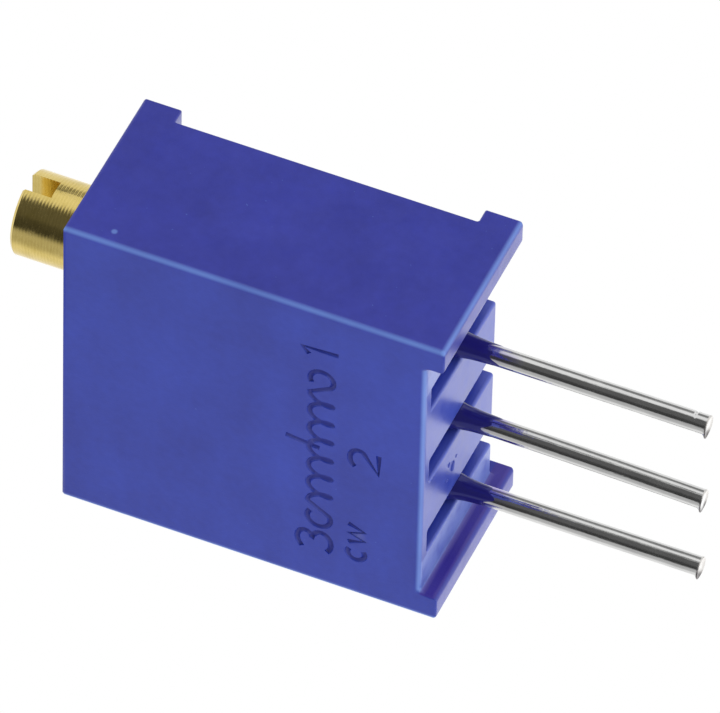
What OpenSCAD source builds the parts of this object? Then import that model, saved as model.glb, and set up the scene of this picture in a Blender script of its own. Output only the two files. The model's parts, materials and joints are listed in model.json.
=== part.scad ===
// Square multi-turn trimmer potentiometer with a top adjusting screw and three in-line pins.
// Origin: seating plane, on the axis of the middle pin. +Z runs up through the case to the
// screw, +X towards the screw and pin 1, and -Y out of the marked front face. Millimetres.

/* [Case] */
// Width of the case along the row of pins
body_w = 9.53; // [8.6:0.01:11.5]
// Height of the case, from the seating plane to the top face
body_h = 10.03; // [8.35:0.01:12.1]
// Depth of the case, from the front face to the back rim
body_d = 4.39; // [3.7:0.01:5.2]
// Wall thickness at the two sides, which is also the width of the seating rails
side_wall = 0.75; // [0.6:0.01:0.9]
// Wall thickness at the front face
front_wall = 0.5; // [0.42:0.01:0.6]
// Wall thickness at the top face, over the sealed recess
top_wall = 0.75; // [0.6:0.01:0.9]
// Thickness of the pin end, between the ribs and the sealed recess
end_wall = 0.99; // [0.75:0.01:1.1]
// How far the rails stand below the ribs of the pin end
rail_h = 0.46; // [0.3:0.01:0.7]
// Height of the four corner feet on the back rim
foot_h = 0.44; // [0.2:0.01:0.7]
// Length of each corner foot along the case
foot_len = 1.0; // [0.6:0.01:1.4]

/* [Pin slots] */
// Width of the slot around each pin
slot_w = 0.74; // [0.7:0.01:1.0]
// Depth of the slots in front of the pins
slot_depth = 0.79; // [0.5:0.01:0.85]
// Distance from the front face to the closed end of the slots
slot_setback = 0.43; // [0.4:0.01:0.9]

/* [Pins] */
// Distance between neighbouring pins
pin_pitch = 2.54; // [2.2:0.01:3.05]
// Diameter of the pins
pin_d = 0.51; // [0.4:0.01:0.62]
// Length of the pins below the seating plane
pin_len = 5.95; // [2:0.01:9]
// Distance from the front face to the row of pins
pin_setback = 2.415; // [2.3:0.005:2.6]
// Chamfer at the cut end of the pins
pin_chamfer = 0.05; // [0.02:0.01:0.1]
// How much the pins narrow from the seating plane to their upper ends, on the radius
pin_taper = 0.005; // [0.005:0.005:0.02]

/* [Adjusting screw] */
// Distance from the screw's axis to the side face and to the front face
screw_inset = 1.27; // [1.25:0.01:1.53]
// Diameter of the screw's head
head_d = 2.19; // [2.0:0.01:2.2]
// Height of the head above the top face
head_h = 1.52; // [0.9:0.01:2.5]
// Chamfer around the end of the head
head_chamfer = 0.07; // [0.03:0.01:0.15]
// Width of the driver slot
driver_slot_w = 0.56; // [0.4:0.01:0.7]
// Depth of the driver slot
driver_slot_d = 0.76; // [0.4:0.01:0.9]
// Diameter at the bottom of the two grooves
groove_d = 1.36; // [1.2:0.01:1.45]
// Diameter of the rubber cord of the sealing ring
seal_cord_d = 0.45; // [0.4:0.01:0.46]
// Diameter of the tail journal
tail_d = 0.7; // [0.5:0.01:0.9]
// Length of the tail journal in its socket
tail_len = 0.5; // [0.3:0.01:0.6]
// Diameter of the retaining pin
retainer_d = 0.3; // [0.25:0.01:0.32]
// Thickness of the boss behind the screw's bore
boss_wall = 0.35; // [0.25:0.01:0.5]
// Radial clearance of everything that turns
running_gap = 0.05; // [0.03:0.01:0.08]

/* [Worm drive] */
// Number of teeth on the rotor
teeth = 30; // [30:1:32]
// Pitch diameter of the worm
worm_pitch_d = 1.49; // [1.4:0.01:1.79]
// Travel of the rotor between its stops, in degrees
travel = 300; // [260:1:305]
// Play between the thread and the teeth
backlash = 0.07; // [0.06:0.01:0.1]
// Thickness of the toothed wheel
wheel_t = 0.7; // [0.5:0.01:0.75]
// Gap around the tips of the wheel
tip_gap = 0.16; // [0.1:0.01:0.3]

/* [Element] */
// Thickness of the ceramic plate
ceramic_t = 0.5; // [0.4:0.01:0.7]
// Gap between the edges of the ceramic plate and the case
ceramic_gap = 0.08; // [0.03:0.01:0.15]
// Thickness of the printed films
film_t = 0.03; // [0.02:0.005:0.05]
// Radial width of the resistive track
track_w = 0.6; // [0.4:0.01:0.7]
// Distance from the pitch circle of the wheel in to the track
track_inset = 0.2; // [0.15:0.01:0.4]
// Radius of the collector at the middle of the plate
collector_r = 0.65; // [0.5:0.01:0.8]
// Thickness of the wiper's spring sheet
spring_t = 0.08; // [0.06:0.01:0.1]
// Gap between the wiper's tips and the films
wiper_gap = 0.02; // [0.02:0.01:0.04]

/* [Seal] */
// How far the resin lies below the back rim
resin_recess = 0.2; // [0.1:0.01:0.4]
// How far the resin lies below the ribs in the pin slots
slot_recess = 0.39; // [0.1:0.01:0.45]

/* [Hidden] */
$fn = 48;

// Overshoot of a cutting shape past the face that it opens
cut = 1;
// How far shapes that are joined reach into each other
lap = 0.1;

// Case
front_y = -pin_setback;
rim_y = front_y + body_d;
half_w = body_w / 2;
inner_x = half_w - side_wall;
rib_z = rail_h;
recess_z0 = rib_z + end_wall;
recess_z1 = body_h - top_wall;
well_floor_y = front_y + front_wall;

// Pins: number 1 is on the screw's side
pin_r = pin_d / 2;
pin_x = [pin_pitch, 0, -pin_pitch];

// Rotor chamber, between the pin end and the screw's boss
floor_block = 0.45;
boss_depth = 2.03;
chamber_z0 = recess_z0 + floor_block;
chamber_z1 = body_h - boss_depth;

// Worm and wheel: the wheel is the largest that fits the chamber's height and width
screw_x = half_w - screw_inset;
screw_y = front_y + screw_inset;
worm_pitch_r = worm_pitch_d / 2;
addendum_share = 0.243;
dedendum_share = 0.295;
tip_factor = 1 + addendum_share * 2 * PI / teeth;
wheel_r_by_height = ((chamber_z1 - chamber_z0) / 2 - tip_gap) / tip_factor;
wheel_r_by_width = (screw_x - worm_pitch_r + inner_x - tip_gap) / (1 + tip_factor);
wheel_pitch_r = min(wheel_r_by_height, wheel_r_by_width);
thread_pitch = 2 * PI * wheel_pitch_r / teeth;
addendum = addendum_share * thread_pitch;
dedendum = dedendum_share * thread_pitch;
thread_tip_r = worm_pitch_r + addendum;
thread_root_r = worm_pitch_r - dedendum;
wheel_tip_r = wheel_pitch_r + addendum;
wheel_root_r = wheel_pitch_r - dedendum;
flank_angle = 20;
rotor_x = screw_x - worm_pitch_r - wheel_pitch_r;
rotor_z = (chamber_z0 + chamber_z1) / 2;
well_r = wheel_tip_r + tip_gap;

// Screw, from the tail up
trough_r = thread_tip_r + running_gap;
tail_r = tail_d / 2;
groove_r = groove_d / 2;
head_r = head_d / 2;
bore_r = head_r + running_gap;
worm_end_gap = 0.1;
worm_z0 = chamber_z0 + worm_end_gap;
worm_z1 = chamber_z1 - 0.3;
collar_lap = 0.05;
collar_r = thread_root_r + 0.03;
journal_z = chamber_z1 + 0.05;
retainer_play = 0.025;
groove_z = chamber_z1 + 0.4;
flange_z = groove_z + retainer_d + 2 * retainer_play;
seat_z = flange_z - 0.02;
flange_t = 0.3;
seal_play = 0.05;
seal_groove_z = flange_z + flange_t;
head_z = seal_groove_z + seal_cord_d + seal_play;
head_top_z = body_h + head_h;
mouth_chamfer = 0.04;

// Retaining pin: it stands beside the groove, parallel to the front-to-back direction
retainer_r = retainer_d / 2;
retainer_x = screw_x - groove_r - retainer_r - running_gap / 2;
retainer_z = groove_z + retainer_play + retainer_r;
retainer_y0 = front_y + 0.28;
retainer_fit = 0.01;
retainer_end_gap = 0.03;

// Element: the plate lies behind the worm
step_y = screw_y + thread_tip_r + 0.11;
ceramic_back_y = step_y + ceramic_t;
plate_z1 = chamber_z1 + 0.3;
boss_y = screw_y + bore_r + boss_wall;
film_y = step_y - film_t;
notch_r = pin_r + 0.015;
pocket_y = min(step_y - 0.17, -pin_r - 0.065);
pocket_z0 = recess_z0 + 0.15;
pocket_half_w = pin_pitch + 0.5;
pad_half_w = 0.45;
pad_z0 = pocket_z0 + 0.05;
pin_top_z = pad_z0 + 0.45;
notch_z = pin_top_z + 0.05;
pad_z1 = notch_z + 0.1;
track_r1 = wheel_pitch_r - track_inset;
track_r0 = track_r1 - track_w;
track_end_angle = travel / 2 + 6;
track_end_pad_angle = 8;
track_end_pad_r = track_r1 + 0.12;
link_lap = 0.3;
link_z0 = pad_z1 + 0.08;
link_z1 = rotor_z + track_r1 * cos(track_end_angle) - 0.07;
collector_strip = 0.5;

// Rotor
wheel_y0 = screw_y - wheel_t / 2;
wheel_y1 = screw_y + wheel_t / 2;
hub_r = 1.1;
hub_gap = 0.05;
post_r = 0.55;
post_y = wheel_y1 - 0.18;
hub_y0 = well_floor_y + hub_gap;
hub_bore_r = post_r + running_gap;
saddle_y = wheel_y1 + 0.14;
stop_r1 = wheel_root_r - 0.15;
stop_inner_r = min(1.6, stop_r1 - 0.2);
stop_margin = 1;
stop_half_w = stop_inner_r * sin((180 - travel / 2 - stop_margin) / 2);
stop_y = (well_floor_y + wheel_y0) / 2;
helix_angle = atan(thread_pitch / (2 * PI * worm_pitch_r));
wheel_twist = wheel_t * tan(helix_angle) / wheel_pitch_r * 180 / PI;

// Wiper
plate_r = 1.0;
stake_x = 0.7;
stake_r = 0.12;
stake_h = 0.13;
window_half_w = 0.3;
finger_w = 0.11;
finger_gap = 0.06;
finger_root = 0.15;
finger_toe = 0.14;
contact_r = track_r1 - track_w / 2;

// Screw thread polyhedron
thread_steps = 24;
thread_half_pitch = (thread_pitch / 2 - backlash / 2) / 2;
thread_root_half = thread_half_pitch + dedendum * tan(flank_angle);
thread_tip_half = thread_half_pitch - addendum * tan(flank_angle);
thread_low_z = worm_z0 + collar_lap + thread_root_half;
thread_high_z = worm_z1 - collar_lap - thread_root_half;
thread_turns_below = floor((rotor_z - thread_low_z) / thread_pitch - 0.5);
thread_start_z = rotor_z - (thread_turns_below + 0.5) * thread_pitch;
thread_turns = floor((thread_high_z - thread_start_z) / thread_pitch);

// Solder and resin
dome_r = 0.32;
dome_top_r = 0.2;
dome_h = 0.16;
fillet_r = 0.29;
fillet_h = 0.09;
resin_back_y = rim_y - resin_recess;
resin_slot_z = rib_z + slot_recess;

// A flat shape drawn in X and Z, as a slab from y0 back to y1
module slab(y0, y1) {
    translate([0, y1, 0])
        rotate([90, 0, 0])
            linear_extrude(y1 - y0)
                children();
}

// A block between two corners
module block(low, high) {
    translate(low)
        cube(high - low);
}

// A round bar along Y
module bar_y(x, z, r, y0, y1) {
    translate([x, y0, z])
        rotate([-90, 0, 0])
            cylinder(r = r, h = y1 - y0);
}

// ---- Case ----

module case_shell() {
    difference() {
        block([-half_w, front_y, 0], [half_w, rim_y, body_h]);
        // Between the rails the pin end stands back
        block([-inner_x, front_y - cut, -cut], [inner_x, rim_y + cut, rib_z]);
        // Sealed recess, open at the back: deep over the plate, shallow over the screw's boss
        block([-inner_x, step_y, recess_z0], [inner_x, rim_y + cut, plate_z1]);
        block([-inner_x, boss_y, plate_z1 - 0.01], [inner_x, rim_y + cut, recess_z1]);
    }
}

module pin_slots() {
    for (x = pin_x) {
        block([x - slot_w / 2, front_y + slot_setback, rib_z - cut],
              [x + slot_w / 2, rim_y + cut, rib_z + slot_depth]);
        block([x - slot_w / 2, pocket_y, rib_z - cut],
              [x + slot_w / 2, rim_y + cut, pocket_z0 + 0.01]);
    }
}

module rotor_well() {
    bar_y(rotor_x, rotor_z, well_r, well_floor_y, step_y + cut / 10);
    // Room in front of the plate for the films and the pin ends
    block([-pocket_half_w, pocket_y, pocket_z0], [pocket_half_w, step_y + cut / 10, rotor_z]);
}

module screw_bore() {
    translate([screw_x, screw_y, 0]) {
        translate([0, 0, chamber_z0])
            cylinder(r = trough_r, h = seat_z - chamber_z0 + 0.01);
        translate([0, 0, seat_z])
            cylinder(r = bore_r, h = body_h - seat_z + cut);
        translate([0, 0, body_h - mouth_chamfer])
            cylinder(r1 = bore_r, r2 = bore_r + 2 * mouth_chamfer, h = 2 * mouth_chamfer);
        translate([0, 0, chamber_z0 - tail_len - 0.05])
            cylinder(r = tail_r + running_gap, h = tail_len + cut / 2);
    }
    block([screw_x - trough_r, screw_y, chamber_z0],
          [screw_x + trough_r, step_y, chamber_z1]);
}

module corner_feet() {
    for (side = [-1, 1], z = [0, body_h - foot_len]) {
        x = side > 0 ? inner_x : -half_w;
        block([x, rim_y - lap, z], [x + side_wall, rim_y + foot_h, z + foot_len]);
    }
}

module well_stop() {
    block([rotor_x - stop_half_w, well_floor_y - lap, rotor_z - stop_r1],
          [rotor_x + stop_half_w, stop_y - running_gap / 2, rotor_z - stop_inner_r]);
}

module housing() {
    color([0.26, 0.29, 0.64]) {
        difference() {
            union() {
                case_shell();
                corner_feet();
            }
            pin_slots();
            rotor_well();
            screw_bore();
            bar_y(retainer_x, retainer_z, retainer_r + retainer_fit, retainer_y0, boss_y + cut / 10);
        }
        bar_y(rotor_x, rotor_z, post_r, well_floor_y - lap, post_y);
        well_stop();
    }
}

// ---- Adjusting screw ----

// Point j of the thread's section at step i: root, tip, tip and root, from below
function thread_point(i, j) =
    let (
        half = j == 0 || j == 3 ? thread_root_half : thread_tip_half,
        side = j < 2 ? -1 : 1,
        r = j == 0 || j == 3 ? thread_root_r : thread_tip_r,
        a = i * 360 / thread_steps
    )
    [r * cos(a), r * sin(a), thread_start_z + i * thread_pitch / thread_steps + side * half];

function ring_point(i, z) =
    [thread_root_r * cos(i * 360 / thread_steps), thread_root_r * sin(i * 360 / thread_steps), z];

// The worm: a cylinder with one thread wound on it, closed by a flat disc at each end
module worm() {
    n = thread_steps;
    last = thread_turns * n;
    strip = [for (i = [0:last], j = [0:3]) thread_point(i, j)];
    bottom = [for (i = [0:n - 1]) ring_point(i, worm_z0)];
    top = [for (i = [0:n - 1]) ring_point(i, worm_z1)];
    b0 = len(strip);
    t0 = b0 + n;
    function at(i, j) = 4 * i + j;
    thread_faces = [for (i = [0:last - 1], j = [0:2])
        each [[at(i, j), at(i, j + 1), at(i + 1, j + 1)], [at(i, j), at(i + 1, j + 1), at(i + 1, j)]]];
    root_faces = [for (i = [0:last - n - 1])
        each [[at(i, 3), at(i + n, 0), at(i + n + 1, 0)], [at(i, 3), at(i + n + 1, 0), at(i + 1, 3)]]];
    skirt_faces = [for (i = [0:n - 2])
        each [[b0 + i, at(i, 0), at(i + 1, 0)], [b0 + i, at(i + 1, 0), b0 + i + 1]]];
    skirt_seam = [b0 + n - 1, at(n - 1, 0), at(n, 0), at(0, 3), at(0, 0), b0];
    e = last - n;
    crown_seam = [at(e + 1, 3), at(e, 3), at(last, 0), at(last, 3), t0, t0 + 1];
    crown_faces = [for (i = [1:n - 1])
        let (j = (i + 1) % n)
        each [[at(e + i, 3), t0 + i, t0 + j], [at(e + i, 3), t0 + j, at(e + i + 1, 3)]]];
    start_face = [at(0, 0), at(0, 3), at(0, 2), at(0, 1)];
    end_face = [at(last, 0), at(last, 1), at(last, 2), at(last, 3)];
    polyhedron(
        points = concat(strip, bottom, top),
        faces = concat(
            thread_faces, root_faces, skirt_faces, [skirt_seam], crown_faces, [crown_seam],
            [start_face, end_face, [for (i = [0:n - 1]) b0 + i], [for (i = [n - 1:-1:0]) t0 + i]]
        )
    );
}

module screw_shaft() {
    rotate_extrude()
        polygon([
            [0, chamber_z0 - tail_len], [tail_r, chamber_z0 - tail_len], [tail_r, worm_z0 + collar_lap],
            [0, worm_z0 + collar_lap]
        ]);
    rotate_extrude()
        polygon([
            [0, worm_z1 - collar_lap], [collar_r, worm_z1 - collar_lap], [collar_r, journal_z],
            [thread_tip_r, journal_z], [thread_tip_r, groove_z],
            [groove_r, groove_z], [groove_r, flange_z],
            [head_r, flange_z], [head_r, seal_groove_z],
            [groove_r, seal_groove_z], [groove_r, head_z],
            [head_r, head_z], [head_r, head_top_z - head_chamfer],
            [head_r - head_chamfer, head_top_z], [0, head_top_z]
        ]);
}

module adjusting_screw() {
    color([0.80, 0.68, 0.36])
        translate([screw_x, screw_y, 0]) {
            worm();
            difference() {
                screw_shaft();
                block([-head_r - cut, -driver_slot_w / 2, head_top_z - driver_slot_d],
                      [head_r + cut, driver_slot_w / 2, head_top_z + cut]);
            }
        }
}

module sealing_ring() {
    color([0.08, 0.08, 0.09])
        translate([screw_x, screw_y, seal_groove_z + (seal_cord_d + seal_play) / 2])
            rotate_extrude()
                translate([groove_r + seal_cord_d / 2, 0])
                    circle(d = seal_cord_d);
}

module retaining_pin() {
    color([0.72, 0.72, 0.74])
        bar_y(retainer_x, retainer_z, retainer_r, retainer_y0 + retainer_end_gap, boss_y - retainer_end_gap);
}

// ---- Rotor ----

// Outline of the toothed wheel, with a tooth space on +X
module wheel_outline() {
    tooth_half = (thread_pitch / 2 - backlash / 2) / 2;
    root_half = tooth_half + dedendum * tan(flank_angle);
    tip_half = tooth_half - addendum * tan(flank_angle);
    polygon([for (i = [0:teeth - 1], k = [0:3])
        let (
            mid = (i + 0.5) * 360 / teeth,
            r = k == 0 || k == 3 ? wheel_root_r : wheel_tip_r,
            half = k == 0 || k == 3 ? root_half : tip_half,
            a = mid + (k < 2 ? -1 : 1) * half / r * 180 / PI
        )
        [r * cos(a), r * sin(a)]]);
}

module toothed_wheel() {
    translate([0, wheel_y1, 0])
        rotate([90, 0, 0])
            rotate([0, 0, -wheel_twist / 2])
                linear_extrude(wheel_t, twist = -wheel_twist, slices = 2)
                    wheel_outline();
}

module rotor_gear() {
    color([0.90, 0.89, 0.84])
        translate([rotor_x, 0, rotor_z])
            difference() {
                union() {
                    toothed_wheel();
                    bar_y(0, 0, hub_r, hub_y0, wheel_y1);
                    bar_y(0, 0, plate_r, wheel_y1 - lap, saddle_y);
                    for (side = [-1, 1])
                        bar_y(side * stake_x, 0, stake_r, saddle_y - lap, saddle_y + stake_h);
                    block([-stop_half_w, stop_y + running_gap / 2, stop_inner_r],
                          [stop_half_w, wheel_y0 + lap, stop_r1]);
                }
                bar_y(0, 0, hub_bore_r, hub_y0 - cut, post_y + running_gap);
            }
}

// Side view of one spring finger in Y and Z: flat root, slope, rounded-off tip
module finger_outline(root_z, tip_z) {
    way = sign(tip_z - root_z);
    y_low = saddle_y;
    y_tip = film_y - wiper_gap;
    bend_z = root_z + way * finger_root;
    toe_z = tip_z + way * finger_toe;
    polygon([
        [y_low, root_z], [y_low, bend_z], [y_tip - spring_t, tip_z - way * 0.02],
        [y_tip - 1.9 * spring_t, toe_z], [y_tip - 0.9 * spring_t, toe_z + way * 0.02],
        [y_tip, tip_z], [y_low + spring_t, bend_z + way * 0.02], [y_low + spring_t, root_z]
    ]);
}

module finger(x, root_z, tip_z) {
    translate([x - finger_w / 2, 0, 0])
        rotate([90, 0, 90])
            linear_extrude(finger_w)
                finger_outline(root_z, tip_z);
}

module wiper_contact() {
    color([0.82, 0.80, 0.72])
        translate([rotor_x, 0, rotor_z]) {
            difference() {
                bar_y(0, 0, plate_r, saddle_y, saddle_y + spring_t);
                block([-window_half_w, saddle_y - cut, -window_half_w - 0.4],
                      [window_half_w, saddle_y + cut, window_half_w + 0.2]);
                for (side = [-1, 1])
                    bar_y(side * stake_x, 0, stake_r + 0.01, saddle_y - cut, saddle_y + cut);
            }
            for (i = [-1.5:1:1.5])
                finger(i * (finger_w + finger_gap), plate_r - lap, contact_r);
            for (i = [-0.5:1:0.5])
                finger(i * (finger_w + finger_gap), window_half_w + 0.3, -0.1);
        }
}

// ---- Element ----

module ceramic_substrate() {
    edge = inner_x - ceramic_gap;
    color([0.93, 0.92, 0.88])
        difference() {
            block([-edge, step_y, recess_z0 + ceramic_gap], [edge, ceramic_back_y, plate_z1 - ceramic_gap]);
            for (x = pin_x)
                block([x - notch_r, step_y - cut, recess_z0 - cut], [x + notch_r, ceramic_back_y + cut, notch_z]);
        }
}

// Part of a flat ring, from one angle to another, measured from +Z towards +X
module ring_sector(r0, r1, a0, a1) {
    steps = max(2, ceil((a1 - a0) / 60));
    reach = 2 * r1;
    difference() {
        intersection() {
            circle(r = r1);
            polygon(concat([[0, 0]],
                [for (k = [0:steps]) let (a = a0 + (a1 - a0) * k / steps) [reach * sin(a), reach * cos(a)]]));
        }
        circle(r = r0);
    }
}

module resistive_track() {
    color([0.14, 0.13, 0.13])
        slab(film_y, step_y)
            translate([rotor_x, rotor_z])
                ring_sector(track_r0, track_r1, -track_end_angle, track_end_angle);
}

// A flat rectangle between two corners, given in either order
module patch(a, b) {
    translate([min(a.x, b.x), min(a.y, b.y)])
        square([abs(a.x - b.x), abs(a.y - b.y)]);
}

// The pad around a pin's notch, joined to the rest of the film given as children
module pad(x, top_z) {
    difference() {
        union() {
            patch([x - pad_half_w, pad_z0], [x + pad_half_w, top_z]);
            children();
        }
        patch([x - notch_r, pad_z0 - cut], [x + notch_r, notch_z]);
    }
}

// Film from one end of the track to its pin, passing above the middle pin's pad
module end_conductor(side, x) {
    low = track_end_angle;
    high = track_end_angle + track_end_pad_angle;
    color([0.78, 0.76, 0.72])
        slab(film_y, step_y) {
            translate([rotor_x, rotor_z])
                ring_sector(track_r0, track_end_pad_r, side > 0 ? low : -high, side > 0 ? high : -low);
            patch([rotor_x + side * track_r1 * sin(high), link_z0], [x - side * (pad_half_w - link_lap), link_z1]);
            pad(x, link_z1);
        }
}

module conductor_1() { end_conductor(1, pin_x[0]); }

module conductor_3() { end_conductor(-1, pin_x[2]); }

// Collector at the middle, with its strip down between the track's ends and across to its pin
module conductor_2() {
    color([0.78, 0.76, 0.72])
        slab(film_y, step_y) {
            translate([rotor_x, rotor_z])
                circle(r = collector_r);
            pad(pin_x[1], pad_z1) {
                patch([rotor_x - collector_strip / 2, pad_z0], [rotor_x + collector_strip / 2, rotor_z]);
                patch([rotor_x, pad_z0], [pin_x[1], pad_z1]);
            }
        }
}

// ---- Terminals ----

// The part of a pin above the seating plane
module pin_shank(x) {
    translate([x, 0, 0])
        cylinder(r1 = pin_r, r2 = pin_r - pin_taper, h = pin_top_z);
}

module terminal_pin(x) {
    color([0.80, 0.80, 0.80]) {
        translate([x, 0, 0]) {
            translate([0, 0, -pin_len])
                cylinder(r1 = pin_r - pin_chamfer, r2 = pin_r, h = pin_chamfer);
            translate([0, 0, pin_chamfer - pin_len])
                cylinder(r = pin_r, h = pin_len - pin_chamfer);
        }
        pin_shank(x);
    }
}

module solder_dome(x) {
    translate([x, ceramic_back_y, notch_z + 0.05 - dome_r])
        rotate([-90, 0, 0])
            cylinder(r1 = dome_r, r2 = dome_top_r, h = dome_h);
}

module solder_joint(x) {
    color([0.70, 0.71, 0.73])
        difference() {
            union() {
                block([x - notch_r, step_y, recess_z0 + ceramic_gap], [x + notch_r, ceramic_back_y, notch_z]);
                block([x - notch_r, film_y, pocket_z0], [x + notch_r, step_y, notch_z]);
                bar_y(x, pad_z0 + fillet_r, fillet_r, film_y - fillet_h, film_y);
                solder_dome(x);
            }
            pin_shank(x);
        }
}

module epoxy_seal() {
    color([0.22, 0.27, 0.62])
        difference() {
            union() {
                block([-inner_x, ceramic_back_y, recess_z0], [inner_x, resin_back_y, plate_z1]);
                block([-inner_x, boss_y, plate_z1 - 0.01], [inner_x, resin_back_y, recess_z1]);
                for (x = pin_x) {
                    block([x - slot_w / 2, front_y + slot_setback, resin_slot_z],
                          [x + slot_w / 2, resin_back_y, rib_z + slot_depth]);
                    block([x - slot_w / 2, pocket_y, resin_slot_z],
                          [x + slot_w / 2, resin_back_y, recess_z0 + ceramic_gap]);
                }
            }
            for (x = pin_x) {
                pin_shank(x);
                solder_dome(x);
            }
        }
}

housing();
adjusting_screw();
sealing_ring();
retaining_pin();
rotor_gear();
wiper_contact();
ceramic_substrate();
resistive_track();
conductor_1();
conductor_2();
conductor_3();
terminal_pin(pin_x[0]);  // terminal_pin_1
terminal_pin(pin_x[1]);  // terminal_pin_2
terminal_pin(pin_x[2]);  // terminal_pin_3
solder_joint(pin_x[0]);  // solder_joint_1
solder_joint(pin_x[1]);  // solder_joint_2
solder_joint(pin_x[2]);  // solder_joint_3
epoxy_seal();
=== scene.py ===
"""Looks of a square multi-turn trimmer potentiometer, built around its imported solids.

Lengths are in millimetres until a finished piece is scaled to metres. +Z runs up the case to the
adjusting screw, +X points to the screw's side and to pin 1, and -Y out of the marked front face.
"""

import json
import math

import bmesh
import bpy
from mathutils import Matrix, Vector


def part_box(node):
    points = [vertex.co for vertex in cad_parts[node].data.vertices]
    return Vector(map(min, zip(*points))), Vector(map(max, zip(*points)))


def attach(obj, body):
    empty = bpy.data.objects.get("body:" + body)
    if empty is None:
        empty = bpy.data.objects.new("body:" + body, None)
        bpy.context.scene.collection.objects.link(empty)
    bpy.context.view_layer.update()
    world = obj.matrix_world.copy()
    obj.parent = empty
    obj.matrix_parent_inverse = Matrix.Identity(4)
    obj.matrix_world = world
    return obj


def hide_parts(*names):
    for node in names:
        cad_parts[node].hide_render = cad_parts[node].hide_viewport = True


MM = 0.001

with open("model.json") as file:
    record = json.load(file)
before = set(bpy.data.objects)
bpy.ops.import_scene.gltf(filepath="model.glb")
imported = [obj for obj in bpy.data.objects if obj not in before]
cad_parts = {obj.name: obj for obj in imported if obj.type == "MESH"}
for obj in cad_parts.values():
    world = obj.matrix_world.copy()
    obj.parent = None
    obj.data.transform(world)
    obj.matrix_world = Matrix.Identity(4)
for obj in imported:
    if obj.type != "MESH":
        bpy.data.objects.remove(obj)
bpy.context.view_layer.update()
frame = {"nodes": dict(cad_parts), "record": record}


def node_box(node):
    """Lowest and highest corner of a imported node, in millimetres."""
    low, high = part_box(node)
    return low / MM, high / MM


CASE_LOW, CASE_HIGH = node_box("housing")
SCREW_LOW, SCREW_HIGH = node_box("adjusting_screw")

# Case. Its box doesn't give the feet, walls, ribs, recess and pin slots, so those repeat the
# part's own sizes.
HALF_W = CASE_HIGH.x
FRONT_Y = CASE_LOW.y
TOP_Z = CASE_HIGH.z
FOOT_H = 0.44
RIM_Y = CASE_HIGH.y - FOOT_H
SIDE_WALL = 0.75
INNER_X = HALF_W - SIDE_WALL
RIB_Z = 0.46
RECESS_Z0 = 1.45
RECESS_Z1 = 9.28
SLOT_HALF_W = 0.37
SLOT_Z = 1.25
SLOT_FRONT_Y = FRONT_Y + 0.43
EDGE_ROUND = 0.15

# Pins
PIN_R = 0.255
PIN_PITCH = 2.54
PIN_X = {1: PIN_PITCH, 2: 0.0, 3: -PIN_PITCH}
PIN_TIP_Z = node_box("terminal_pin_2")[0].z

# Resin
RESIN_BACK_Y = node_box("epoxy_seal")[1].y

# Screw, which is widest at its head
SCREW_X = (SCREW_LOW.x + SCREW_HIGH.x) / 2
SCREW_Y = (SCREW_LOW.y + SCREW_HIGH.y) / 2
HEAD_R = (SCREW_HIGH.x - SCREW_LOW.x) / 2


# ---- Shader maths ----


class Sum:
    """A number in a material, so that its maths reads as an expression."""

    def __init__(self, finish, socket):
        self.finish = finish
        self.socket = socket

    def maths(self, operation, *values):
        return self.finish.node("ShaderNodeMath", {"operation": operation}, dict(enumerate(values)))

    def __add__(self, other):
        return self.maths("ADD", self, other)

    __radd__ = __add__

    def __sub__(self, other):
        return self.maths("SUBTRACT", self, other)

    def __rsub__(self, other):
        return self.maths("SUBTRACT", other, self)

    def __mul__(self, other):
        return self.maths("MULTIPLY", self, other)

    __rmul__ = __mul__

    def __truediv__(self, other):
        return self.maths("DIVIDE", self, other)

    def __abs__(self):
        return self.maths("ABSOLUTE", self)

    def rounded(self):
        return self.maths("ROUND", self)

    def smooth(self, start, end):
        """0 at start, 1 at end, and soft in between."""
        return self.finish.node(
            "ShaderNodeMapRange",
            {"interpolation_type": "SMOOTHSTEP"},
            {"Value": self, "From Min": start, "From Max": end},
        )


class Finish:
    """A node tree and the ways to add to it."""

    def __init__(self, tree):
        self.tree = tree
        tree.nodes.clear()

    def node(self, kind, settings=None, inputs=None, output=0):
        """Adds a node: its settings first, then the values or links of its sockets."""
        made = self.tree.nodes.new(kind)
        for name, value in (settings or {}).items():
            setattr(made, name, value)
        for name, value in (inputs or {}).items():
            self.feed(made.inputs[name], value)
        return Sum(self, made.outputs[output])

    def feed(self, socket, value):
        """Links a socket to a worked-out value, or sets it to a plain one."""
        if isinstance(value, Sum):
            self.tree.links.new(value.socket, socket)
        elif isinstance(value, tuple) and socket.type == "RGBA":
            socket.default_value = (*value, 1)
        else:
            socket.default_value = value

    def mix(self, share, first, second):
        """A colour between two others."""
        return self.node(
            "ShaderNodeMix",
            {"data_type": "RGBA"},
            {0: share, 6: first, 7: second},
            output=2,
        )

    def place(self):
        """Where a point lies on its piece, in metres."""
        return self.node("ShaderNodeTexCoord", output=3)

    def stretched(self, scale):
        """The place with each axis scaled, for grain that runs one way."""
        return self.node(
            "ShaderNodeVectorMath", {"operation": "MULTIPLY"}, {0: self.place(), 1: scale}
        )

    def axes(self):
        """The place's three coordinates, in millimetres."""
        place = self.stretched((1 / MM,) * 3)
        return [
            self.node("ShaderNodeSeparateXYZ", None, {"Vector": place}, output=i) for i in range(3)
        ]

    def grain(self, size, detail=2.0, at=None):
        """Noise whose cells are about that many millimetres across."""
        return self.node(
            "ShaderNodeTexNoise",
            {"noise_dimensions": "3D"},
            {"Vector": at or self.place(), "Scale": 1 / (size * MM), "Detail": detail},
        )

    def relief(self, height, depth, normal=None):
        """A bump of that many millimetres."""
        inputs = {"Height": height, "Strength": 1.0, "Distance": depth * MM}
        if normal:
            inputs["Normal"] = normal
        return self.node("ShaderNodeBump", None, inputs)


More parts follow.
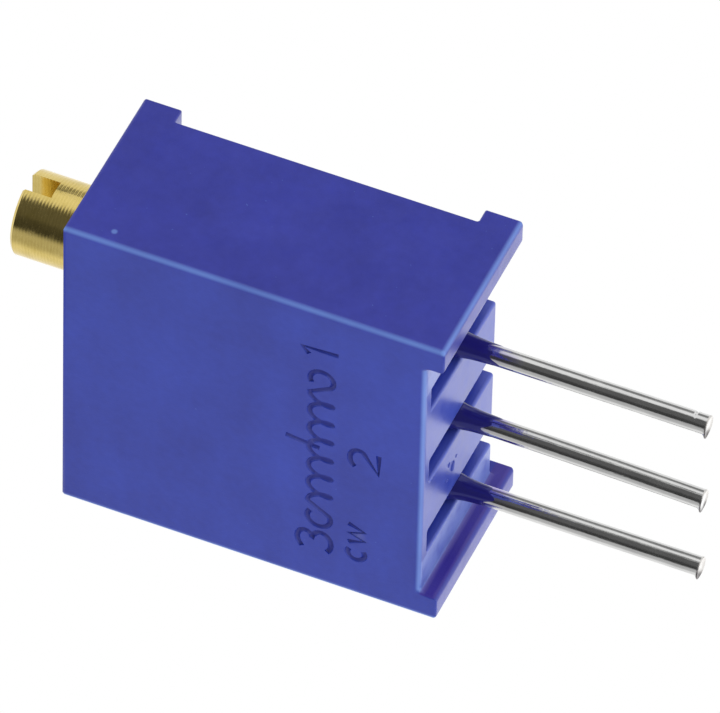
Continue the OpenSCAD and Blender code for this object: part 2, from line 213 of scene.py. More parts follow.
class Material(Finish):
    """A material around one Principled shader."""

    def __init__(self, name, **constants):
        self.data = bpy.data.materials.new(name)
        self.data.use_nodes = True
        super().__init__(self.data.node_tree)
        self.shader = self.tree.nodes.new("ShaderNodeBsdfPrincipled")
        out = self.tree.nodes.new("ShaderNodeOutputMaterial")
        self.tree.links.new(self.shader.outputs[0], out.inputs["Surface"])
        for socket, value in constants.items():
            self.set(socket.replace("_", " "), value)

    def set(self, socket, value):
        self.feed(self.shader.inputs[socket], value)


# Where the marks lie on the front face, and the width over which their painted shade fades out
MARKS_HALF_W = 4.3
MARKS_Z0 = 1.3
MARKS_Z1 = 4.5
MARKS_FADE = 0.1

# A pale nick in the case, on the screw's side
CASE_NICK_Y = -2.0
CASE_NICK_Z = 8.86


def moulded_plastic():
    """Blue case plastic: satin and finely grained, with painted highlights on its long edges,
    painted shade in its marks and on its rail flanks and creases, and painted light in its slot
    mouths and on its ribs.
    """
    m = Material("case_plastic", Metallic=0.0, IOR=1.5)
    x, y, z = m.axes()
    by_side = abs(x).smooth(HALF_W - EDGE_ROUND, HALF_W)
    by_front = y.smooth(FRONT_Y + EDGE_ROUND, FRONT_Y)
    by_foot = z.smooth(EDGE_ROUND, 0)
    by_ribs = z.smooth(RIB_Z + EDGE_ROUND, RIB_Z) * abs(x).smooth(INNER_X, INNER_X - EDGE_ROUND)
    # Painted highlight, not wear: worn is a pale band along the long rounded outer edges and the
    # ribs' front edge, where those edges catch the light
    worn = by_side * by_front + by_side * by_foot + by_front * by_ribs
    in_marks = (
        y.smooth(FRONT_Y + 0.012, FRONT_Y + 0.06)
        * y.smooth(FRONT_Y + 0.3, FRONT_Y + 0.2)
        * abs(x).smooth(MARKS_HALF_W, MARKS_HALF_W - MARKS_FADE)
        * z.smooth(MARKS_Z0, MARKS_Z0 + MARKS_FADE)
        * z.smooth(MARKS_Z1, MARKS_Z1 - MARKS_FADE)
    )
    cloud = m.grain(2.2, 3.0)
    flow = m.grain(1.0, 2.0, m.stretched((0.25, 1.0, 1.0)))
    tone = (cloud - 0.5) * 1.3 + (flow - 0.5) * 0.9 + 0.5
    tone = tone + (m.grain(0.22, 2.0) - 0.5) * 0.7
    fresh = m.mix(tone, (0.0080, 0.023, 0.300), (0.0160, 0.043, 0.420))
    # Painted shade: the inner flanks of the side rails are painted violet, the way their shaded
    # valley looks, except beside the front edge
    off_front_edge = 1 - by_front * (HALF_W - abs(x)).smooth(0.05, 0.2)
    flank = abs(x).smooth(INNER_X - 0.06, INNER_X - 0.03) * off_front_edge
    violet = m.mix(tone, (0.024, 0.027, 0.290), (0.038, 0.042, 0.400))
    sides = m.mix(flank * 0.7, fresh, violet)
    # Painted light: the slot walls near their mouths are painted paler, in place of light that
    # reaches into the slots
    off_slot = x - (x / PIN_PITCH).rounded() * PIN_PITCH
    slot_mouth_painted_light = (
        abs(off_slot).smooth(SLOT_HALF_W + 0.08, SLOT_HALF_W + 0.03)
        * abs(x).smooth(INNER_X - 0.8, INNER_X - 0.9)
        * y.smooth(SLOT_FRONT_Y - 0.05, SLOT_FRONT_Y)
        * z.smooth(RIB_Z + 0.42, RIB_Z + 0.02)
    )
    # Painted shade: a dark violet in the crease where each side rail meets the rib plane
    rail_crease_painted_shade = (
        z.smooth(RIB_Z + 0.02, RIB_Z - 0.02)
        * abs(x).smooth(INNER_X + 0.04, INNER_X + 0.01)
        * abs(x).smooth(INNER_X - 0.10, INNER_X - 0.05)
    )
    # Painted light: patches on the rib faces are painted paler, most on the outer rib strips, for
    # the light the ribs catch
    outer_rib = abs(x).smooth(INNER_X - 1.1, INNER_X - 1.0) * z.smooth(RIB_Z + 0.03, RIB_Z + 0.01)
    patchy_rib_painted_light = (
        z.smooth(RIB_Z + 0.04, RIB_Z + 0.01)
        * abs(x).smooth(INNER_X, INNER_X - 0.1)
        * m.grain(0.5, 3.0).smooth(-0.1, 0.75)
    )
    # Painted light in the slot mouths and in patches on the ribs
    plain = m.mix(slot_mouth_painted_light * 0.85 + patchy_rib_painted_light * 0.5, sides, (0.10, 0.14, 0.58))
    # More painted light on the outer rib strips
    plain = m.mix(patchy_rib_painted_light * outer_rib, plain, (0.17, 0.23, 0.62))
    # Painted shade in the rail creases
    plain = m.mix(rail_crease_painted_shade * 0.7, plain, (0.055, 0.026, 0.30))
    beside, above = y - CASE_NICK_Y, z - CASE_NICK_Z
    from_nick = beside * beside + above * above
    nick = from_nick.smooth(0.010, 0.001) * x.smooth(HALF_W - 0.1, HALF_W) * 0.7
    flecks = m.grain(0.10).smooth(0.76, 0.80) * 0.35 + nick
    # Painted highlight on the long edges, mixed with the real pale flecks and the nick
    with_highlight_and_flecks = m.mix(worn * (1.3 + (cloud - 0.5)) + flecks, plain, (0.15, 0.27, 0.72))
    # Painted shade: the sunk marks are painted darker, as the shade inside the grooves
    m.set("Base Color", m.mix(in_marks * 0.65, with_highlight_and_flecks, (0.014, 0.017, 0.210)))
    m.set("Roughness", 0.33 + (m.grain(0.5) - 0.5) * 0.16 + in_marks * 0.2)
    skin = m.relief(m.grain(0.05), 0.0022)
    m.set("Normal", m.relief(m.grain(0.6, 1.0), 0.004, skin))
    return m.data


def turned_brass():
    """Screw brass: rings left by the lathe, dull streaks and a few darker spots."""
    m = Material("screw_brass", Metallic=1.0)
    rings = m.node(
        "ShaderNodeTexWave",
        {"wave_type": "BANDS", "bands_direction": "Z"},
        {"Vector": m.place(), "Scale": 3700.0, "Distortion": 0.8, "Detail Scale": 0.15},
        output=1,
    )
    fine = m.grain(0.018, 1.0, m.stretched((0.15, 0.15, 1.0)))
    stain = m.grain(0.5, 3.0)
    tone = (rings - 0.5) * 0.12 + (fine - 0.5) * 0.5 + (stain - 0.5) * 0.8 + 0.5
    m.set("Base Color", m.mix(tone, (0.52, 0.39, 0.09), (0.83, 0.66, 0.25)))
    m.set("Roughness", 0.17 + (fine - 0.5) * 0.16 + stain.smooth(0.55, 0.75) * 0.10)
    x, y = m.axes()[:2]
    right, back = x - SCREW_X, y - SCREW_Y
    on_barrel = (right * right + back * back).smooth((HEAD_R - 0.05) ** 2, (HEAD_R - 0.01) ** 2)
    chatter = (right * 0.94 + back * 0.34).smooth(0.2, 0.9) * m.grain(0.3).smooth(0.3, 0.6)
    m.set("Normal", m.relief(rings * on_barrel * (0.3 + chatter) + fine * 0.2, 0.0024))
    return m.data


def tinned_wire():
    """Drawn copper wire with a bright tin coat, dull where it was cut, with painted shade on the
    burr side of its cut end, and blue where resin crept.
    """
    m = Material("tinned_wire", Metallic=1.0)
    x, y, z = m.axes()
    off_axis = x - (x / PIN_PITCH).rounded() * PIN_PITCH
    burr_side = (off_axis * -0.64 + y * -0.77).smooth(0.0, 0.2)
    drawn = m.grain(0.035, 2.0, m.stretched((1.0, 1.0, 0.03)))
    patch = m.grain(0.7, 3.0)
    cut = (z + (patch - 0.5) * 0.1).smooth(PIN_TIP_Z + 0.06, PIN_TIP_Z + 0.02)
    runs = m.grain(0.3, 0.0, m.stretched((1.0, 1.0, 0.4)))
    crept = (z + (runs - 0.5) * 1.3).smooth(-0.95, -0.1) * (1 - burr_side * 0.9)
    tin = m.mix(patch, (0.58, 0.58, 0.58), (0.76, 0.76, 0.75))
    # Painted shade: the cut end is painted dark grey on its burr side
    cut_end_with_painted_shade = m.mix(burr_side, (0.66, 0.64, 0.62), (0.13, 0.12, 0.12))
    bare = m.mix(cut, tin, cut_end_with_painted_shade)
    m.set("Base Color", m.mix(crept * 0.85, bare, (0.26, 0.21, 0.56)))
    m.set("Roughness", 0.12 + (drawn - 0.5) * 0.08 + patch.smooth(0.5, 0.8) * 0.10 + cut * 0.25)
    dents = m.relief(m.grain(0.25, 2.0), 0.004)
    m.set("Normal", m.relief(drawn, 0.002, dents))
    return m.data


def cured_resin():
    """Blue potting resin, glossy, with a slight ripple; deep violet where it stands up the pins."""
    m = Material("epoxy_resin", Metallic=0.0, IOR=1.65, Specular_Tint=(0.45, 0.50, 1.0))
    y, z = m.axes()[1:]
    cloud = m.grain(1.2, 3.0)
    drawn_up = z.smooth(0.8, 0.5) * abs(y).smooth(0.6, 0.45)
    pool = m.mix(cloud, (0.012, 0.018, 0.20), (0.026, 0.045, 0.36))
    m.set("Base Color", m.mix(drawn_up * 0.9, pool, (0.017, 0.013, 0.13)))
    m.set("Roughness", 0.09 + cloud.smooth(0.4, 0.7) * 0.08)
    m.set("Normal", m.relief(m.grain(0.9, 2.0), 0.015))
    return m.data


def seal_rubber():
    """Black silicone rubber with a dusty bloom."""
    m = Material("seal_rubber", Metallic=0.0, IOR=1.43)
    bloom = m.grain(0.2, 3.0)
    m.set("Base Color", m.mix(bloom.smooth(0.45, 0.75), (0.012, 0.012, 0.013), (0.05, 0.05, 0.052)))
    m.set("Roughness", 0.5 + (bloom - 0.5) * 0.3)
    m.set("Normal", m.relief(m.grain(0.04), 0.003))
    return m.data


def retainer_steel():
    """Drawn steel wire, with lines along it."""
    m = Material("retainer_steel", Metallic=1.0)
    drawn = m.grain(0.02, 2.0, m.stretched((1.0, 0.04, 1.0)))
    m.set("Base Color", m.mix(drawn, (0.46, 0.46, 0.48), (0.62, 0.62, 0.64)))
    m.set("Roughness", 0.25 + (drawn - 0.5) * 0.2)
    m.set("Normal", m.relief(drawn, 0.002))
    return m.data


def rotor_nylon():
    """Natural nylon: ivory, with a waxy sheen and faint swirls."""
    m = Material("rotor_plastic", Metallic=0.0, IOR=1.53)
    swirl = m.grain(0.8, 4.0)
    m.set("Base Color", m.mix(swirl, (0.70, 0.67, 0.57), (0.82, 0.80, 0.73)))
    m.set("Roughness", 0.42 + (swirl - 0.5) * 0.2)
    m.set("Normal", m.relief(m.grain(0.08), 0.003))
    return m.data


def contact_alloy():
    """Spring sheet of the wiper, pale gold, with rolling lines."""
    m = Material("contact_alloy", Metallic=1.0)
    rolled = m.grain(0.03, 2.0, m.stretched((1.0, 1.0, 0.05)))
    m.set("Base Color", m.mix(rolled, (0.66, 0.60, 0.46), (0.80, 0.75, 0.61)))
    m.set("Roughness", 0.22 + (rolled - 0.5) * 0.16)
    m.set("Normal", m.relief(rolled, 0.001))
    return m.data


def alumina():
    """Fired alumina: off-white, finely granular, a little glassy."""
    m = Material("ceramic", Metallic=0.0, IOR=1.6)
    crystal = m.grain(0.03, 3.0)
    m.set("Base Color", m.mix(crystal, (0.78, 0.76, 0.69), (0.88, 0.87, 0.82)))
    m.set("Roughness", 0.35 + (m.grain(0.4) - 0.5) * 0.2)
    m.set("Normal", m.relief(crystal, 0.0015))
    return m.data


def resistor_film():
    """Fired resistor film: nearly black, with pale glassy specks."""
    m = Material("track_film", Metallic=0.0, IOR=1.6)
    speck = m.grain(0.02, 2.0).smooth(0.62, 0.72)
    m.set("Base Color", m.mix(speck, (0.018, 0.016, 0.016), (0.13, 0.12, 0.12)))
    m.set("Roughness", 0.28 + (m.grain(0.2) - 0.5) * 0.2)
    m.set("Normal", m.relief(m.grain(0.05), 0.001))
    return m.data


def conductor_film():
    """Fired silver alloy film, matt and granular."""
    m = Material("conductor_film", Metallic=1.0)
    fired = m.grain(0.03, 3.0)
    m.set("Base Color", m.mix(fired, (0.56, 0.54, 0.50), (0.72, 0.70, 0.66)))
    m.set("Roughness", 0.45 + (fired - 0.5) * 0.3)
    m.set("Normal", m.relief(fired, 0.002))
    return m.data


def reflowed_solder():
    """Solder that has flowed and set, smooth with dull crystals."""
    m = Material("solder", Metallic=1.0)
    crystal = m.grain(0.07, 3.0)
    m.set("Base Color", m.mix(crystal, (0.44, 0.45, 0.47), (0.62, 0.63, 0.65)))
    m.set("Roughness", 0.24 + crystal.smooth(0.5, 0.7) * 0.2)
    m.set("Normal", m.relief(m.grain(0.15), 0.006))
    return m.data


FINISHES = {
    "case_plastic": moulded_plastic(),
    "screw_brass": turned_brass(),
    "seal_rubber": seal_rubber(),
    "retainer_steel": retainer_steel(),
    "rotor_plastic": rotor_nylon(),
    "contact_alloy": contact_alloy(),
    "ceramic": alumina(),
    "track_film": resistor_film(),
    "conductor_film": conductor_film(),
    "tinned_wire": tinned_wire(),
    "solder": reflowed_solder(),
    "epoxy_resin": cured_resin(),
}


def finish_nodes():
    """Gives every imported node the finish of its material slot."""
    slots = {part["node"]: part["material_slot"] for part in frame["record"]["subparts"]}
    for name, obj in frame["nodes"].items():
        obj.data.materials.clear()
        obj.data.materials.append(FINISHES[slots[name]])


# ---- Making pieces ----

# Corners closer than this are one corner
WELD = 0.0005
WELD_AFTER_CUT = 0.002


def smooth_by_angle(mesh, degrees):
    """Shades a mesh smooth, apart from edges that turn by more than the angle."""
    mesh.shade_smooth()
    mesh.set_sharp_from_angle(angle=math.radians(degrees))


def add_piece(name, mesh, slot, stands_for=(), body="case", crease=35):
    """Scales a finished mesh from millimetres to metres and puts it on its body."""
    mesh.name = name
    mesh.transform(Matrix.Scale(MM, 4))
    mesh.materials.clear()
    mesh.materials.append(FINISHES[slot])
    smooth_by_angle(mesh, crease)
    piece = bpy.data.objects.new(name, mesh)
    bpy.context.scene.collection.objects.link(piece)
    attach(piece, body)
    if stands_for:
        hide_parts(*stands_for)
    return piece


def mesh_of(bm):
    """A new mesh from an edited one, which is freed."""
    mesh = bpy.data.meshes.new("work")
    bm.to_mesh(mesh)
    bm.free()
    return mesh


def applied(mesh, *modifiers):
    """The mesh with modifiers applied: each is (type, settings)."""
    work = bpy.data.objects.new("work", mesh)
    bpy.context.scene.collection.objects.link(work)
    for kind, settings in modifiers:
        added = work.modifiers.new(kind.lower(), kind)
        for key, value in settings.items():
            setattr(added, key, value)
    seen = bpy.context.evaluated_depsgraph_get()
    result = bpy.data.meshes.new_from_object(work.evaluated_get(seen), depsgraph=seen)
    bpy.data.objects.remove(work)
    return result


# ---- Marks on the front face ----

MARK_PEN_R = 0.08
MARK_DEPTH = 0.07


def arc(cx, cz, rx, rz, start, end, steps=14):
    """Points of part of an ellipse, by angle in degrees from +X towards +Z."""
    angles = [math.radians(start + (end - start) * i / steps) for i in range(steps + 1)]
    return [(cx + rx * math.cos(a), cz + rz * math.sin(a)) for a in angles]


def numeral_1():
    return [[(-0.20, 0.25), (0.01, 0.43), (0.03, -0.52)]]


def numeral_2():
    return [arc(0.02, 0.10, 0.31, 0.24, 155, -30) + [(-0.32, -0.42), (0.36, -0.42)]]


def numeral_3():
    return [
        [(-0.30, 0.30)]
        + arc(0.02, 0.22, 0.29, 0.21, 125, -75)
        + arc(0.03, -0.21, 0.35, 0.26, 75, -145)
    ]


def letters_cw():
    return [
        arc(-0.37, 0.0, 0.22, 0.23, 55, 305),
        [(-0.02, 0.22), (0.14, -0.22), (0.30, 0.20), (0.45, -0.22), (0.63, 0.22)],
    ]


def coil(turns=6, pitch=0.647, height=0.62, swing=0.16, end_r=0.30, points_a_turn=18):
    """The resistor's coil: loops along its foot, and an open ring at each end."""
    half = turns * pitch / 2
    points = arc(-half - 0.52, 0.0, end_r, height / 2, 50, 300)
    for i in range(points_a_turn * turns + 1):
        t = i / points_a_turn
        points.append((
            -half + t * pitch + swing * math.sin(2 * math.pi * t),
            height / 2 * math.cos(2 * math.pi * t),
        ))
    return [points + arc(half + 0.50, 0.0, end_r, height / 2, 230, 480)]


def wiper_line():
    return [[(0.06, 0.46), (-0.05, -0.44)]]


# Each mark with its middle, as X and Z
FRONT_MARKS = [
    (numeral_1(), 3.43, 3.27),
    (numeral_2(), 0.05, 2.05),
    (numeral_3(), -3.38, 3.30),
    (letters_cw(), -2.95, 2.16),
    (coil(), -0.02, 3.17),
    (wiper_line(), 0.06, 3.63),
]


def mark_cutter():
    """Round-nosed strokes lying in the front face."""
    curve = bpy.data.curves.new("strokes", "CURVE")
    curve.dimensions = "3D"
    curve.bevel_depth = MARK_PEN_R
    curve.bevel_resolution = 2
    curve.use_fill_caps = True
    for strokes, x0, z0 in FRONT_MARKS:
        for stroke in strokes:
            line = curve.splines.new("POLY")
            line.points.add(len(stroke) - 1)
            for point, (x, z) in zip(line.points, stroke):
                point.co = (x0 + x, FRONT_Y - MARK_PEN_R + MARK_DEPTH, z0 + z, 1)
    work = bpy.data.objects.new("strokes", curve)
    bpy.context.scene.collection.objects.link(work)
    seen = bpy.context.evaluated_depsgraph_get()
    bm = bmesh.new()
    bm.from_mesh(bpy.data.meshes.new_from_object(work.evaluated_get(seen), depsgraph=seen))
    bpy.data.objects.remove(work)
    bmesh.ops.remove_doubles(bm, verts=bm.verts, dist=WELD)
    bmesh.ops.recalc_face_normals(bm, faces=bm.faces)
    return mesh_of(bm)


# ---- Case ----

MIDDLE_ROUND_SHARE = 0.55
SMALL_ROUND_SHARE = 0.35
LONG_EDGE = 2
SHARP_WITHIN_R = 2.1 * HEAD_R


def edge_round_share(edge):
    """How much of the full round a moulded edge gets, and 0 where it stays sharp."""
    if len(edge.link_faces) != 2 or edge.calc_face_angle(0) < math.radians(60):
        return 0
    low = Vector(map(min, edge.verts[0].co, edge.verts[1].co))
    high = Vector(map(max, edge.verts[0].co, edge.verts[1].co))
    at = (low + high) / 2

    def lies(axis, place):
        return abs(low[axis] - place) < 0.01 and abs(high[axis] - place) < 0.01

    side = lies(0, HALF_W) or lies(0, -HALF_W)
    front, top = lies(1, FRONT_Y), lies(2, TOP_Z)
    rail_foot = lies(2, 0) and (lies(0, INNER_X) or lies(0, -INNER_X))
    rail_root = lies(2, RIB_Z) and (lies(0, INNER_X) or lies(0, -INNER_X))
    if edge.calc_length() > LONG_EDGE:
        if rail_foot or rail_root or (side and lies(2, 0)) or (front and lies(2, RIB_Z)):
            return 1
        if front and lies(0, HALF_W):
            return 1
        if (side and front) or (top and (side or front)):
            return MIDDLE_ROUND_SHARE
    if lies(2, RIB_Z) and abs(at.x) < INNER_X - 0.1 and FRONT_Y + 0.1 < at.y < RIM_Y - 0.1:
        return MIDDLE_ROUND_SHARE
    from_screw = math.hypot(at.x - SCREW_X, at.y - SCREW_Y)
    near_screw = from_screw < SHARP_WITHIN_R and low.z > RIB_Z
    at_pin_end = high.z < SLOT_Z + 0.01 and high.y < RESIN_BACK_Y
    outside = side or front or top or low.y > RIM_Y - 0.01 or at_pin_end
    return SMALL_ROUND_SHARE if outside and not near_screw else 0


def without_slivers(mesh):
    """The same solid, with the corners that lie almost on each other joined."""
    bm = bmesh.new()
    bm.from_mesh(mesh)
    bmesh.ops.remove_doubles(bm, verts=bm.verts, dist=WELD_AFTER_CUT)
    bmesh.ops.dissolve_degenerate(bm, edges=bm.edges, dist=0.001)
    return mesh_of(bm)


def make_case():
    """The moulded case: edges rounded as moulded, and the marks sunk in its front."""
    bm = bmesh.new()
    bm.from_mesh(frame["nodes"]["housing"].data)
    bmesh.ops.scale(bm, vec=(1 / MM,) * 3, verts=bm.verts)
    bmesh.ops.remove_doubles(bm, verts=bm.verts, dist=WELD)
    bmesh.ops.dissolve_limit(bm, angle_limit=math.radians(0.5), verts=bm.verts, edges=bm.edges)
    share = bm.edges.layers.float.new("bevel_weight_edge")
    for edge in bm.edges:
        edge[share] = edge_round_share(edge)
    rounded = applied(
        mesh_of(bm),
        ("BEVEL", {
            "limit_method": "WEIGHT", "width": EDGE_ROUND, "segments": 4,
            "use_clamp_overlap": False, "miter_outer": "MITER_ARC",
        }),
    )
    cutter = bpy.data.objects.new("strokes", mark_cutter())
    bpy.context.scene.collection.objects.link(cutter)
    marked = applied(
        rounded,
        ("BOOLEAN", {
            "operation": "DIFFERENCE", "object": cutter, "solver": "EXACT", "use_self": True,
        }),
    )
    bpy.data.objects.remove(cutter)
    piece = add_piece("case_moulding", without_slivers(marked), "case_plastic", ["housing"])
    piece.modifiers.new("even_normals", "WEIGHTED_NORMAL").keep_sharp = True
    triangles = piece.modifiers.new("triangles", "TRIANGULATE")
    triangles.keep_custom_normals = True
    triangles.min_vertices = 5


# ---- Resin ----

# Radius and height of the resin's surface around a pin, from the flat up the pin
COLLAR = [
    (1.00, 0.852), (0.70, 0.845), (0.56, 0.825), (0.47, 0.78), (0.41, 0.70), (0.372, 0.60),
    (0.345, 0.50), (0.325, 0.40), (0.308, 0.30), (0.294, 0.19), (0.284, 0.07), (0.275, -0.06),
    (0.268, -0.19), (0.262, -0.30), (0.253, -0.36),
]
COLLAR_ROOT_Z = 0.95


def resin_collar(number):
    """Resin that stands in a pin's slot and has crept thinly up the pin, with an uneven edge."""
    x0 = PIN_X[number]
    spokes = 64
    profile = [(COLLAR[0][0], COLLAR_ROOT_Z)] + COLLAR + [(0.24, COLLAR[-1][1] + 0.05)]
    bm = bmesh.new()
    grid = []
    for r, z in profile:
        row = []
        for k in range(spokes):
            a = 2 * math.pi * k / spokes
            creep = 0.13 * math.sin(2 * a + 2 * number) + 0.08 * math.sin(5 * a + number)
            x = max(-SLOT_HALF_W, min(SLOT_HALF_W, r * math.cos(a)))
            drop = creep * max(0, min(1, (0.45 - z) / 0.6))
            row.append(bm.verts.new((x0 + x, r * math.sin(a), z + drop)))
        grid.append(row)
    grid.append([bm.verts.new((v.co.x, v.co.y, COLLAR_ROOT_Z)) for v in grid[-1]])
    grid.append(grid[0])
    for inner, outer in zip(grid[1:], grid):
        for k in range(spokes):
            j = (k + 1) % spokes
            bm.faces.new((outer[k], outer[j], inner[j], inner[k]))
    bmesh.ops.recalc_face_normals(bm, faces=bm.faces)
    add_piece(f"resin_collar_{number}", mesh_of(bm), "epoxy_resin", crease=60)


FINE_GAPS = (0, 0.03, 0.07, 0.12, 0.18, 0.26)


def steps(low, high, finely_at, step=0.34):
    """Numbers from low to high, evenly spread and closer together beside some places."""
    count = max(2, round((high - low) / step))
    places = {round(low + (high - low) * i / count, 4) for i in range(count + 1)}
    for place in finely_at:
        for gap in FINE_GAPS:
            places |= {round(place - gap, 4), round(place + gap, 4)}
    return sorted(p for p in places if low <= p <= high)


SKIN_GAP = 0.004
SKIN_ROOT = 0.06
WALL_RISE = 0.10
WALL_REACH = 0.13
WAVE_HEIGHT = 0.016


def resin_back():
    """The poured resin's skin in the back: wavy, and drawn up along each wall."""
    low_x, high_x = -INNER_X + SKIN_GAP, INNER_X - SKIN_GAP
    high_z = RECESS_Z1 - SKIN_GAP
    slot_edges = [x + side * SLOT_HALF_W for x in PIN_X.values() for side in (-1, 1)]
    xs = steps(low_x, high_x, [low_x, high_x] + slot_edges)
    zs = steps(RECESS_Z0, high_z, [RECESS_Z0, high_z])
    bm = bmesh.new()

    def rise(from_wall):
        return WALL_RISE * math.exp(-from_wall / WALL_REACH)

    def surface(x, z):
        open_below = min(abs(x - slot) for slot in PIN_X.values()) - SLOT_HALF_W
        foot_wall = max(0, min(1, open_below / 0.12 + 0.5))
        drawn_up = max(rise(INNER_X - abs(x)), rise(RECESS_Z1 - z))
        drawn_up = max(drawn_up, foot_wall * rise(z - RECESS_Z0))
        wave = math.sin(1.1 * x + 0.4 * z) * math.sin(0.8 * z - 0.3 * x)
        wave += 0.5 * math.sin(2.3 * x - 1.7 * z)
        from_foot = min(1, max(0, z - RECESS_Z0) / 2.0)
        return RESIN_BACK_Y + SKIN_GAP + drawn_up + WAVE_HEIGHT * (1.5 + wave) * from_foot

    under = [[bm.verts.new((x, RESIN_BACK_Y - SKIN_ROOT, z)) for x in xs] for z in zs]
    skin = [[bm.verts.new((x, surface(x, z), z)) for x in xs] for z in zs]
    for rows in (under, skin):
        for a, b in zip(rows, rows[1:]):
            for i in range(len(xs) - 1):
                bm.faces.new((a[i], a[i + 1], b[i + 1], b[i]))

    def rim(rows):
        left = [row[0] for row in rows]
        right = [row[-1] for row in rows]
        return rows[0] + right[1:] + rows[-1][-2::-1] + left[-2:0:-1]

    inner, outer = rim(under), rim(skin)
    for i in range(len(inner)):
        j = (i + 1) % len(inner)
        bm.faces.new((inner[i], inner[j], outer[j], outer[i]))
    bmesh.ops.recalc_face_normals(bm, faces=bm.faces)
    add_piece("resin_back", mesh_of(bm), "epoxy_resin", crease=60)


# X, Y, size and turn of each speck of moulding flash on the rib between pins 2 and 3
SPECKS = [
    (-1.28, -0.52, 0.13, 20),
    (-1.02, -0.74, 0.08, 80),
    (-1.46, -0.86, 0.06, 10),
    (-1.12, -0.30, 0.05, 50),
]


def rib_specks():
    """Small flat specks of flash that stayed on a rib."""
    bm = bmesh.new()
    for number, (x0, y0, size, turn) in enumerate(SPECKS):
        drop = bmesh.ops.create_icosphere(bm, subdivisions=3, radius=1)["verts"]
        for v in drop:
            a = math.atan2(v.co.y, v.co.x)
            uneven = 1 + 0.18 * math.sin(2 * a + turn) + 0.08 * math.sin(5 * a + number)
            x, y = v.co.x * size * uneven, v.co.y * size * uneven * 0.7
            c, s = math.cos(math.radians(turn)), math.sin(math.radians(turn))
            v.co = (x0 + c * x - s * y, y0 + s * x + c * y, RIB_Z + v.co.z * size * 0.4)
    add_piece("rib_specks", mesh_of(bm), "case_plastic", crease=60)


# ---- Pins ----

# How far each pin's end is bent off its axis, in X and Y
WIRE_BENDS = {1: (0.0, 0.0), 2: (-0.05, -0.05), 3: (0.02, 0.0)}
WIRE_TOP_Z = 2.0
STRAIGHT_ABOVE_Z = 1.0
CUT_ZONE = 0.5
FLARE_LEN = 0.12
BURR_AZIMUTH = 226
BURR_OUT = 0.10
WIRE_NICK_UP = 0.36
WIRE_NICK_SIZE = 0.022


def make_wire(number):
    """A pin of tinned wire, with the burr that the cut leaves at its end and a nick in the first."""
    x0 = PIN_X[number]
    bend = WIRE_BENDS[number]
    spokes = 56
    top = WIRE_TOP_Z
    tip = PIN_TIP_Z
    burr_at = math.radians(BURR_AZIMUTH + 6 * number)
    levels = [top + (tip + CUT_ZONE - top) * i / 40 for i in range(41)]
    levels += [tip + CUT_ZONE * (1 - i / 25) for i in range(1, 25)]
    bm = bmesh.new()
    grid = []

    def burr(a):
        return max(0, math.cos(a - burr_at)) ** 5

    def ring(z, radius):
        along = max(0, (STRAIGHT_ABOVE_Z - z) / (STRAIGHT_ABOVE_Z - tip)) ** 2
        row = []
        for k in range(spokes):
            a = 2 * math.pi * k / spokes
            r = radius(a)
            x = x0 + bend[0] * along + r * math.cos(a)
            row.append(bm.verts.new((x, bend[1] * along + r * math.sin(a), z)))
        grid.append(row)

    for z in levels:
        flare = max(0, 1 - (z - tip) / FLARE_LEN) ** 1.5
        from_nick = (z - tip - WIRE_NICK_UP) / WIRE_NICK_SIZE
        nick = WIRE_NICK_SIZE * math.exp(-(from_nick**2)) if number == 1 else 0

        def worn(a):
            flared = flare * (0.003 + BURR_OUT * burr(a))
            return PIN_R + flared - nick * max(0, math.cos(a - 0.9))

        ring(z, worn)
    ring(tip, lambda a: PIN_R - 0.012 + 0.09 * burr(a))
    ring(tip + 0.012, lambda a: PIN_R * 0.85 + 0.05 * burr(a))
    ring(tip + 0.035, lambda a: PIN_R * 0.45)
    for i in range(len(grid) - 1):
        for k in range(spokes):
            j = (k + 1) % spokes
            bm.faces.new((grid[i][k], grid[i + 1][k], grid[i + 1][j], grid[i][j]))
    bm.faces.new(grid[-1])
    bm.faces.new(list(reversed(grid[0])))
    bmesh.ops.recalc_face_normals(bm, faces=bm.faces)
    stands_for = [f"terminal_pin_{number}"]
    add_piece(f"wire_{number}", mesh_of(bm), "tinned_wire", stands_for, crease=40)


# ---- Studio ----

CAMERA_AT = Vector((245.790, -211.325, -84.042))
CAMERA_RIGHT = Vector((0.0181211, 0.3993613, -0.9166145))
CAMERA_UP = Vector((0.6821924, 0.6652792, 0.3033433))
LENS = 688.71
FLOOR_Z = -360
FLOOR_R = 514


def make_camera():
    back = CAMERA_RIGHT.cross(CAMERA_UP)
    data = bpy.data.cameras.new("camera")
    data.sensor_width = 36
    data.lens = LENS
    data.clip_start = 0.05
    data.clip_end = 5
    camera = bpy.data.objects.new("camera", data)
    turn = Matrix((CAMERA_RIGHT, CAMERA_UP, back)).transposed().to_4x4()
    camera.matrix_world = Matrix.Translation(CAMERA_AT * MM) @ turn
    bpy.context.scene.collection.objects.link(camera)
    bpy.context.scene.camera = camera


def heading(azimuth, elevation):
    """A unit vector: azimuth from +X towards +Y, in degrees."""
    a, e = math.radians(azimuth), math.radians(elevation)
    return (math.cos(a) * math.cos(e), math.sin(a) * math.cos(e), math.sin(e))


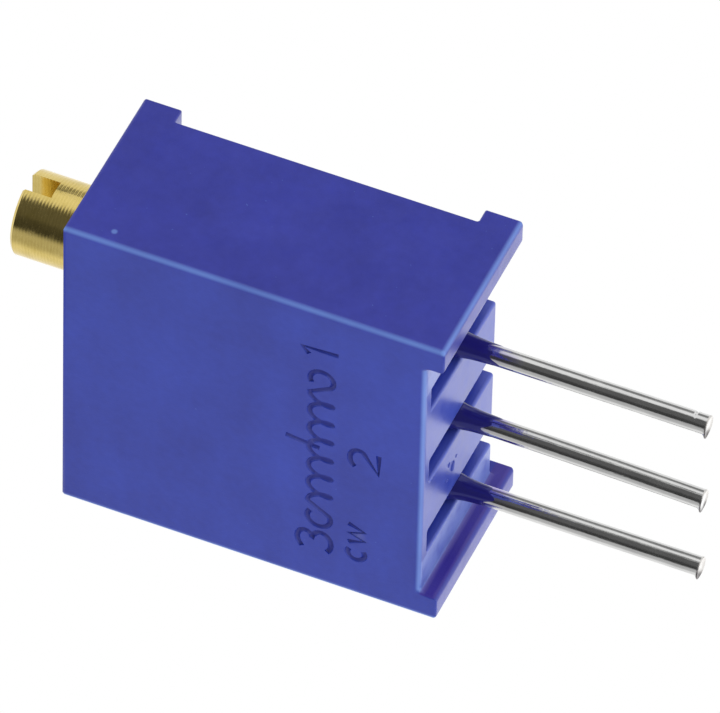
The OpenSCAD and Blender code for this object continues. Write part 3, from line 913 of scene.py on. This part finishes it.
def make_world():
    """Soft light from all round, with darker patches in its reflections to show metal's form."""
    world = bpy.data.worlds.new("studio")
    bpy.context.scene.world = world
    world.use_nodes = True
    studio = Finish(world.node_tree)
    view = studio.node("ShaderNodeTexCoord", output=0)

    def patch(azimuth, elevation, inner, outer, squash=1.0):
        """1 within inner degrees of a heading, 0 beyond outer degrees; squash makes it low."""

        def step(operation, first, second=(0, 0, 0), output=0):
            return studio.node(
                "ShaderNodeVectorMath", {"operation": operation}, {0: first, 1: second}, output
            )

        lowered = step("SUBTRACT", view, (0, 0, math.sin(math.radians(elevation))))
        squashed = step("NORMALIZE", step("MULTIPLY", lowered, (1, 1, squash)))
        cosine = step("DOT_PRODUCT", squashed, heading(azimuth, 0), 1)
        return cosine.smooth(math.cos(math.radians(outer)), math.cos(math.radians(inner)))

    gap = patch(-51, 0, 39.5, 53)
    strips = patch(95, -15, 9, 22, 2.2) + patch(185, -15, 9, 22, 2.2)
    core = patch(-73, 15, 7, 22, 1.6)
    dim = patch(51, 15, 10, 23, 2.2)
    grey = patch(-108, 15, 12, 42, 0.6)
    low_back = 0.5 * patch(139, -15, 20, 50, 1.5)
    darker = (1 - 0.88 * gap) * (1 - 0.5 * core) * (1 - 0.75 * dim) * (1 - 0.42 * grey)
    shown = (1.02 * darker + low_back) * (1 - 0.75 * strips)
    lit = 0.86 * (1 - 0.2 * patch(50, 25, 10, 90)) + low_back
    camera_ray, glossy_ray, through_ray = (
        studio.node("ShaderNodeLightPath", output=i) for i in (0, 3, 6)
    )
    strength = camera_ray + (1 - camera_ray) * (lit + (glossy_ray + through_ray) * (shown - lit))
    light = studio.node(
        "ShaderNodeBackground", None, {"Color": (1.0, 1.0, 1.0), "Strength": strength}
    )
    out = studio.tree.nodes.new("ShaderNodeOutputWorld")
    studio.tree.links.new(light.socket, out.inputs["Surface"])


def make_floor():
    """A round pale table top, well below the part."""
    bm = bmesh.new()
    bmesh.ops.create_circle(bm, cap_ends=True, radius=FLOOR_R * MM, segments=128)
    bmesh.ops.translate(bm, verts=bm.verts, vec=(0, 0, FLOOR_Z * MM))
    floor = bpy.data.objects.new("floor", mesh_of(bm))
    bpy.context.scene.collection.objects.link(floor)
    data = bpy.data.materials.new("floor_white")
    data.use_nodes = True
    top = Finish(data.node_tree)
    matt = top.node("ShaderNodeBsdfDiffuse", None, {"Color": (0.8, 0.8, 0.8)})
    camera_ray = top.node("ShaderNodeLightPath", output=0)
    glow = top.node(
        "ShaderNodeEmission",
        None,
        {"Color": (1.0, 1.0, 1.0), "Strength": 0.55 * (1 - camera_ray) + 0.34 * camera_ray},
    )
    out = top.tree.nodes.new("ShaderNodeOutputMaterial")
    both = top.node("ShaderNodeAddShader", None, {0: matt, 1: glow})
    top.tree.links.new(both.socket, out.inputs["Surface"])
    floor.data.materials.append(data)


finish_nodes()
make_case()
for pin_number in PIN_X:
    make_wire(pin_number)
    resin_collar(pin_number)
resin_back()
rib_specks()
make_floor()
make_camera()
make_world()
bpy.context.scene.view_settings.view_transform = "Standard"
